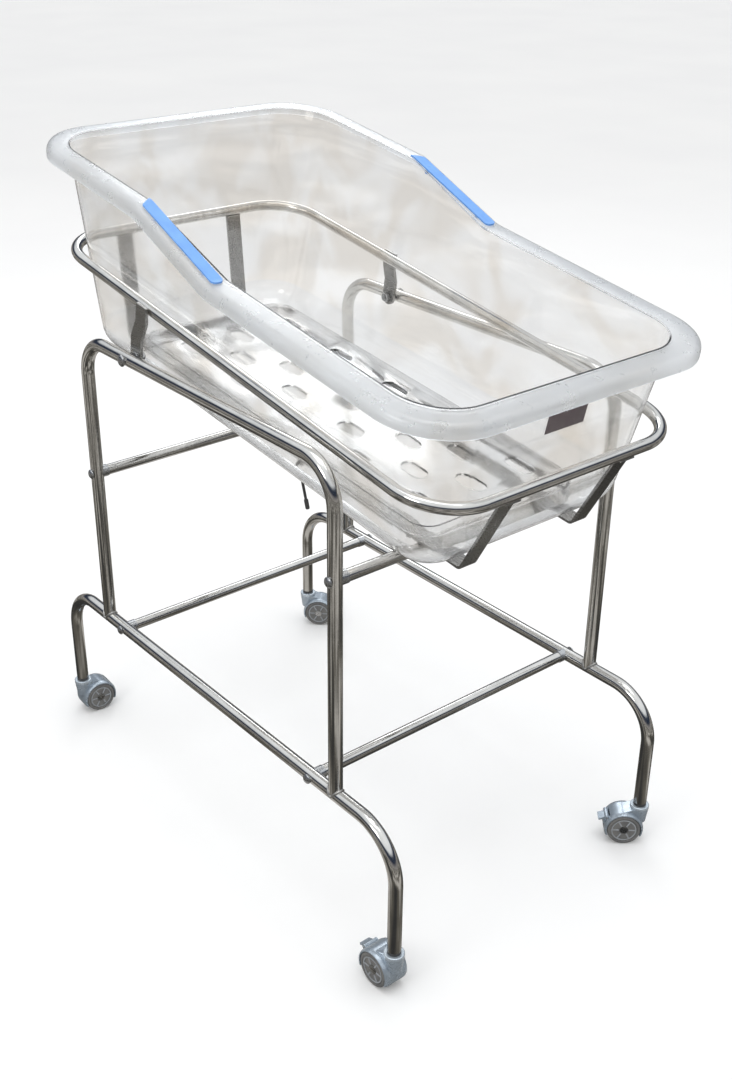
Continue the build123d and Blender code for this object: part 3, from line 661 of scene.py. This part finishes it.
def bend_us(middle):
    """Places along the tub that give a soft bend of the rim its curve."""
    return [middle + bend_half * k / 3 for k in range(-4, 5)]


# Places are in metres in the ring's plane: u runs to the foot, v across, and w is the height over the plane.
arc_steps, end_steps, row_margin = 14, 8, 0.012
slope_head_u, slope_foot_u, low_rim_w, high_rim_w = -0.150, 0.015, 0.116, 0.158
slope = (low_rim_w - high_rim_w) / (slope_foot_u - slope_head_u)
bend_half = 0.0057
side_us = [-0.270, -0.210, -0.170, *bend_us(slope_head_u), -0.110, -0.068, -0.026]
side_us += [*bend_us(slope_foot_u), 0.040, 0.090, 0.150, 0.210, 0.262]


def rounded(head, foot, half, corner):
    """Rounded rectangle about v = 0, with the same count of points whatever its size."""
    spots = []
    runs = [foot - corner, *reversed(side_us), head + corner]
    if not (head + corner < side_us[0] and side_us[-1] < foot - corner):
        share = [(u - side_us[0]) / (side_us[-1] - side_us[0]) for u in reversed(side_us)]
        low, high = head + corner + row_margin, foot - corner - row_margin
        runs = [foot - corner, *(low + f * (high - low) for f in share), head + corner]
    centres = (
        (foot - corner, half - corner, 0),
        (head + corner, half - corner, 90),
        (head + corner, corner - half, 180),
        (foot - corner, corner - half, 270),
    )
    for number, (u, v, start) in enumerate(centres):
        for step in range(arc_steps + 1):
            turn = math.radians(start + 90 * step / arc_steps)
            spots.append((u + corner * math.cos(turn), v + corner * math.sin(turn)))
        if number == 0:
            spots += [(run, half) for run in runs[1:-1]]
        elif number == 1:
            spots += [(head, (half - corner) * (1 - 2 * k / end_steps)) for k in range(1, end_steps)]
        elif number == 2:
            spots += [(run, -half) for run in reversed(runs[1:-1])]
        else:
            spots += [(foot, (corner - half) * (1 - 2 * k / end_steps)) for k in range(1, end_steps)]
    return spots


def rim_top(u):
    """Height of the rim's top line, with a soft bend at each end of its slope."""
    for bend_u, flat_w, sign in ((slope_head_u, high_rim_w, 1), (slope_foot_u, low_rim_w, -1)):
        if abs(u - bend_u) <= bend_half:
            return flat_w + sign * slope * (sign * (u - bend_u) + bend_half) ** 2 / (4 * bend_half)
    if u < slope_head_u:
        return high_rim_w
    return low_rim_w if u > slope_foot_u else high_rim_w + slope * (u - slope_head_u)


strap_top_w, strap_head_u, strap_rise, strap_run, bed_gap = -0.161, -0.385, 0.031, 0.761, 0.0043


def bed(u, rise):
    """Height over the tub's outer bottom, which slopes with the straps."""
    return strap_top_w + (u - strap_head_u) * strap_rise / strap_run + bed_gap + rise


wall, wall_corner, corner_growth = 0.003, 0.070, 0.06
wall_head_u, wall_foot_u, wall_half = -0.414, 0.397, 0.214
head_lean, foot_lean, side_lean = (math.tan(math.radians(a)) for a in (5.8, 3.5, 9.3))


def wall_sides(rise):
    """Head, foot and half width of the wall's outside, at a height over the low rim."""
    return wall_head_u - rise * head_lean, wall_foot_u + rise * foot_lean, wall_half + rise * side_lean


def wall_ring(height, inset):
    """Ring of the wall where its height changes along the tub, each point's place found in three rounds."""
    spots = [(0.0, 0.0)] * len(rounded(wall_head_u, wall_foot_u, wall_half, wall_corner))
    for _ in range(3):
        moved = []
        for number, (u, _) in enumerate(spots):
            rise = height(u) - low_rim_w
            head, foot, half = wall_sides(rise)
            corner = wall_corner + rise * corner_growth - inset
            moved.append(rounded(head + inset, foot - inset, half - inset, corner)[number])
        spots = moved
    return [(u, v, height(u)) for u, v in spots]


flange_head_u, flange_foot_u, flange_half, flange_corner = -0.442, 0.429, 0.2475, 0.090


def flange_ring(drop, inset):
    """Ring of the flange, below the rim's top line by a drop."""
    corner = flange_corner - inset
    spots = rounded(flange_head_u + inset, flange_foot_u - inset, flange_half - inset, corner)
    return [(u, v, rim_top(u) - drop) for u, v in spots]


step_mid_u, step_half_u, step_half_v, step_corner = 0.004, 0.334, 0.142, 0.042


def step_ring(rise, inset):
    """Ring of the raised floor's steps."""
    spots = rounded(inset - step_half_u, step_half_u - inset, step_half_v - inset, step_corner - inset)
    return [(u + step_mid_u, v, bed(u + step_mid_u, rise)) for u, v in spots]


edge_rise, edge_lean = 0.050, 7


def bottom_ring(inset, radius, share):
    """Ring of the rounded bottom edge, which starts on the leaning wall."""
    turn = math.radians(edge_lean + (90 - edge_lean) * share)
    inset += radius / math.cos(math.radians(edge_lean)) - radius * math.cos(turn)
    spots = wall_ring(lambda u: bed(u, edge_rise), inset)
    return [(u, v, bed(u, edge_rise - radius * math.sin(turn))) for u, v, _ in spots]


def between(u, share, top_w):
    """Height at a share of the way from the rounded bottom edge to the top."""
    return bed(u, edge_rise) + share * (top_w - bed(u, edge_rise))


edge_steps, round_steps = 8, 6
wall_shares = (0.3, 0.6, 0.85)
flange_drop, flange_round, lip_round = 0.018, 0.010, 0.0012
steps_below = ((0.031, 0.0150), (0.023, 0.0143), (0.023, 0.0053), (0.0, 0.0033))
steps_above = ((0.003, 0.0005), (0.026, 0.0025), (0.026, 0.0115), (0.034, 0.0122))


def shell_rings():
    """Rings of the whole shell: from under the floor, up outside, over the flange and down inside."""
    rings = [step_ring(rise, inset) for rise, inset in steps_below]
    shares = [k / edge_steps for k in range(edge_steps, -1, -1)]
    turns = [math.radians(90 * k / round_steps) for k in range(round_steps + 1)]
    rings += [bottom_ring(0.0, edge_rise, share) for share in shares]
    for share in wall_shares:
        rings.append(wall_ring(lambda u: between(u, share, rim_top(u) - wall), 0.0))
    rings.append(wall_ring(lambda u: rim_top(u) - wall, 0.0))
    inner = flange_round - wall
    for turn in turns:
        rings.append(flange_ring(wall + inner * (1 - math.cos(turn)), wall + inner * (1 - math.sin(turn))))
    rings += [flange_ring(flange_drop, wall), flange_ring(flange_drop, 0.0)]
    for turn in turns:
        rings.append(flange_ring(flange_round * (1 - math.sin(turn)), flange_round * (1 - math.cos(turn))))
    rings += [wall_ring(rim_top, wall - lip_round), wall_ring(lambda u: rim_top(u) - lip_round, wall)]
    for share in reversed(wall_shares):
        rings.append(wall_ring(lambda u: between(u, share, rim_top(u)), wall))
    rings += [bottom_ring(wall, edge_rise - wall, share) for share in reversed(shares)]
    return rings + [step_ring(rise, inset) for rise, inset in steps_above]


vent_mid_u, vent_pitch_u, vent_pitch_v = 0.016, 0.127, 0.043
vent_straight, vent_round, vent_steps = 0.0105, 0.0125, 12
vent_low, vent_high = 0.024, 0.042


def vent_cutter():
    """Oval prisms that cut five staggered rows of vents through the raised floor."""
    work = bmesh.new()
    for row in range(-2, 3):
        count = 5 - abs(row) % 2
        for index in range(count):
            mid_u = vent_mid_u + (index - (count - 1) / 2) * vent_pitch_u
            mid_v = row * vent_pitch_v
            ring = []
            for side in (1, -1):
                for step in range(vent_steps + 1):
                    turn = math.radians(-90 + 180 * step / vent_steps)
                    u = mid_u + side * (vent_straight + vent_round * math.cos(turn))
                    ring.append((u, mid_v + side * vent_round * math.sin(turn)))
            low = [work.verts.new(ring_turn @ Vector((u, v, bed(u, vent_low)))) for u, v in ring]
            high = [work.verts.new(ring_turn @ Vector((u, v, bed(u, vent_high)))) for u, v in ring]
            work.faces.new(low[::-1])
            work.faces.new(high)
            for k in range(len(ring)):
                after = (k + 1) % len(ring)
                work.faces.new((low[k], low[after], high[after], high[k]))
    bmesh.ops.recalc_face_normals(work, faces=work.faces)
    mesh = bpy.data.meshes.new("vents")
    work.to_mesh(mesh)
    work.free()
    return new_object("vents", mesh)


shell_edge = 0.0008
shell_edge_angle, shell_sharp_angle = math.radians(35), math.radians(32)


def tub_shell():
    """The tub as one closed shell, with its vents."""
    work = bmesh.new()
    rings = [[work.verts.new(ring_turn @ Vector(spot)) for spot in ring] for ring in shell_rings()]
    work.faces.new(rings[0][::-1])
    work.faces.new(rings[-1])
    for low, high in zip(rings, rings[1:]):
        for k in range(len(low)):
            after = (k + 1) % len(low)
            work.faces.new((low[k], low[after], high[after], high[k]))
    bmesh.ops.recalc_face_normals(work, faces=work.faces)
    for face in work.faces:
        face.smooth = True
    mesh = bpy.data.meshes.new("tub_shell")
    work.to_mesh(mesh)
    work.free()
    mesh.materials.append(clear_wall)
    shell = new_object("tub_shell", mesh)
    soften = shell.modifiers.new("soften", "BEVEL")
    soften.width = shell_edge
    soften.segments = 2
    soften.limit_method = "ANGLE"
    soften.angle_limit = shell_edge_angle
    cutter = vent_cutter()
    cut = shell.modifiers.new("vents", "BOOLEAN")
    cut.object = cutter
    cut.solver = "EXACT"
    whole = bpy.data.meshes.new_from_object(shell.evaluated_get(bpy.context.evaluated_depsgraph_get()))
    shell.modifiers.clear()
    shell.data = whole
    whole.set_sharp_from_angle(angle=shell_sharp_angle)
    bpy.data.objects.remove(cutter)
    return shell


flange_start, flange_reach, floor_top_w = 0.022, 0.0712, -0.085
tub = fit(tub_shell(), "tub", "clear_tub", "tub")
tub.data.materials.append(clear_flange)
tub.data.materials.append(clear_floor)
to_ring = ring_turn.inverted()
for face in tub.data.polygons:
    spot = to_ring @ face.center
    rise = spot.z - low_rim_w
    head, foot, half = wall_sides(rise)
    out_u = max(head + wall_corner - spot.x, spot.x - (foot - wall_corner), 0.0)
    out_v = max(abs(spot.y) - (half - wall_corner), 0.0)
    if rise > -flange_start and math.hypot(out_u, out_v) > flange_reach:
        face.material_index = 1
    elif spot.z < floor_top_w:
        face.material_index = 2

# Trim pads: two blue plastic strips clipped by lugs through the sloping part of the flange.
# They mark the place where a hand takes hold of the tub.
blue_trim = plastic("blue_trim", (0.15, 0.36, 0.80), (0.12, 0.31, 0.72), 0.34, coat=0.15)
finished("rim_pad_left", blue_trim, "tub", "blue_trim", edge=0.0006)
finished("rim_pad_right", blue_trim, "tub", "blue_trim", edge=0.0006)

# Plain plate: a thin dark plate stuck on the outside of the foot wall. Nothing is printed on it.
plate_plastic = plastic("plain_plate", (0.085, 0.065, 0.070), (0.12, 0.10, 0.10), 0.38)
finished("plain_plate", plate_plastic, "tub", "plain_plate", edge=0.0002)

# Casters: moulded hoods over twin wheels. Each turns on a stem that a plug holds in the rail's end.
# The two at the foot have a toe lever whose shoe is pressed onto the treads.
hub_grey = plastic("hub_grey", (0.30, 0.32, 0.34), (0.22, 0.23, 0.24), 0.32, grain=1500.0, coat=0.2)


hub_out, hub_steps, hub_ribs, hub_sharp_angle = 0.0172, 72, 6, math.radians(50)
ring_rows = ((0.0185, 0.0), (0.0185, 0.0007), (0.0178, 0.0010), (0.0168, 0.0007), (0.0168, 0.0))
rib_rows = ((0.0075, 0.0, 0.0011), (0.0075, 0.0008, 0.0007), (0.0172, 0.0008, 0.0007), (0.0172, 0.0, 0.0011))


def hub_ring(name, node, axle):
    """Raised ring and shallow ribs on a wheel's dished face, round the axle's cap."""
    low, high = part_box(node)
    axle_low, axle_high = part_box(axle)
    middle = (axle_low + axle_high) / 2
    out = (low + high) / 2 - middle
    out.z = 0.0
    out.normalize()
    up = Vector((0, 0, 1))
    across = up.cross(out)
    face = middle + out * hub_out
    work = bmesh.new()
    loops = []
    for reach, lift in ring_rows:
        turns = [2 * math.pi * step / hub_steps for step in range(hub_steps)]
        spots = [face + out * lift + (across * math.cos(t) + up * math.sin(t)) * reach for t in turns]
        loops.append([work.verts.new(spot) for spot in spots])
    for one, two in zip(loops, loops[1:] + loops[:1]):
        for k in range(hub_steps):
            after = (k + 1) % hub_steps
            work.faces.new((one[k], one[after], two[after], two[k]))
    for rib in range(hub_ribs):
        turn = 2 * math.pi * rib / hub_ribs
        along = across * math.cos(turn) + up * math.sin(turn)
        wide = out.cross(along)
        pairs = []
        for reach, lift, half in rib_rows:
            spot = face + along * reach + out * lift
            pairs.append([work.verts.new(spot + wide * half * edge) for edge in (-1, 1)])
        work.faces.new([pair[0] for pair in pairs])
        work.faces.new([pair[1] for pair in pairs][::-1])
        for one, two in zip(pairs, pairs[1:] + pairs[:1]):
            work.faces.new((one[0], one[1], two[1], two[0]))
    bmesh.ops.recalc_face_normals(work, faces=work.faces)
    for part in work.faces:
        part.smooth = True
    mesh = bpy.data.meshes.new(name)
    work.to_mesh(mesh)
    work.free()
    mesh.set_sharp_from_angle(angle=hub_sharp_angle)
    mesh.materials.append(hub_grey)
    ring = new_object(name, mesh)
    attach(ring, node)


caster_plastic = plastic(
    "caster_plastic", (0.40, 0.46, 0.52), (0.30, 0.35, 0.40), 0.26, grain=2500.0, coat=0.35, metallic=0.55
)
caster_cap = plastic("caster_cap", (0.58, 0.65, 0.71), (0.46, 0.52, 0.58), 0.24, coat=0.3, metallic=0.6)
wheel_grey = plastic("wheel_grey", (0.105, 0.105, 0.105), (0.17, 0.165, 0.155), 0.50, grain=1200.0, depth=0.5)
finished("caster_stems", plated, "base", "plated_steel", edge=0.0)
finished("caster_plugs", black_plastic, "base", "black_plastic", edge=0.0002)
for corner in ("head_left", "head_right", "foot_left", "foot_right"):
    body = "caster_" + corner
    finished("caster_hood_" + corner, caster_plastic, body, "caster_plastic", edge=0.0005)
    finished("caster_cap_" + corner, caster_cap, body, "caster_cap", edge=0.0)
    finished("axle_" + corner, plated, body, "plated_steel", edge=0.0)
    for side in ("left", "right"):
        node = "wheel_" + side + "_" + corner
        finished(node, wheel_grey, node, "wheel_grey", edge=0.0004)
        hub_ring("hub_ring_" + side + "_" + corner, node, "axle_" + corner)
    if corner.startswith("foot"):
        finished("brake_pin_" + corner, plated, body, "plated_steel", edge=0.0)
        finished("brake_lever_" + corner, caster_plastic, "brake_" + corner, "caster_plastic", edge=0.0004)
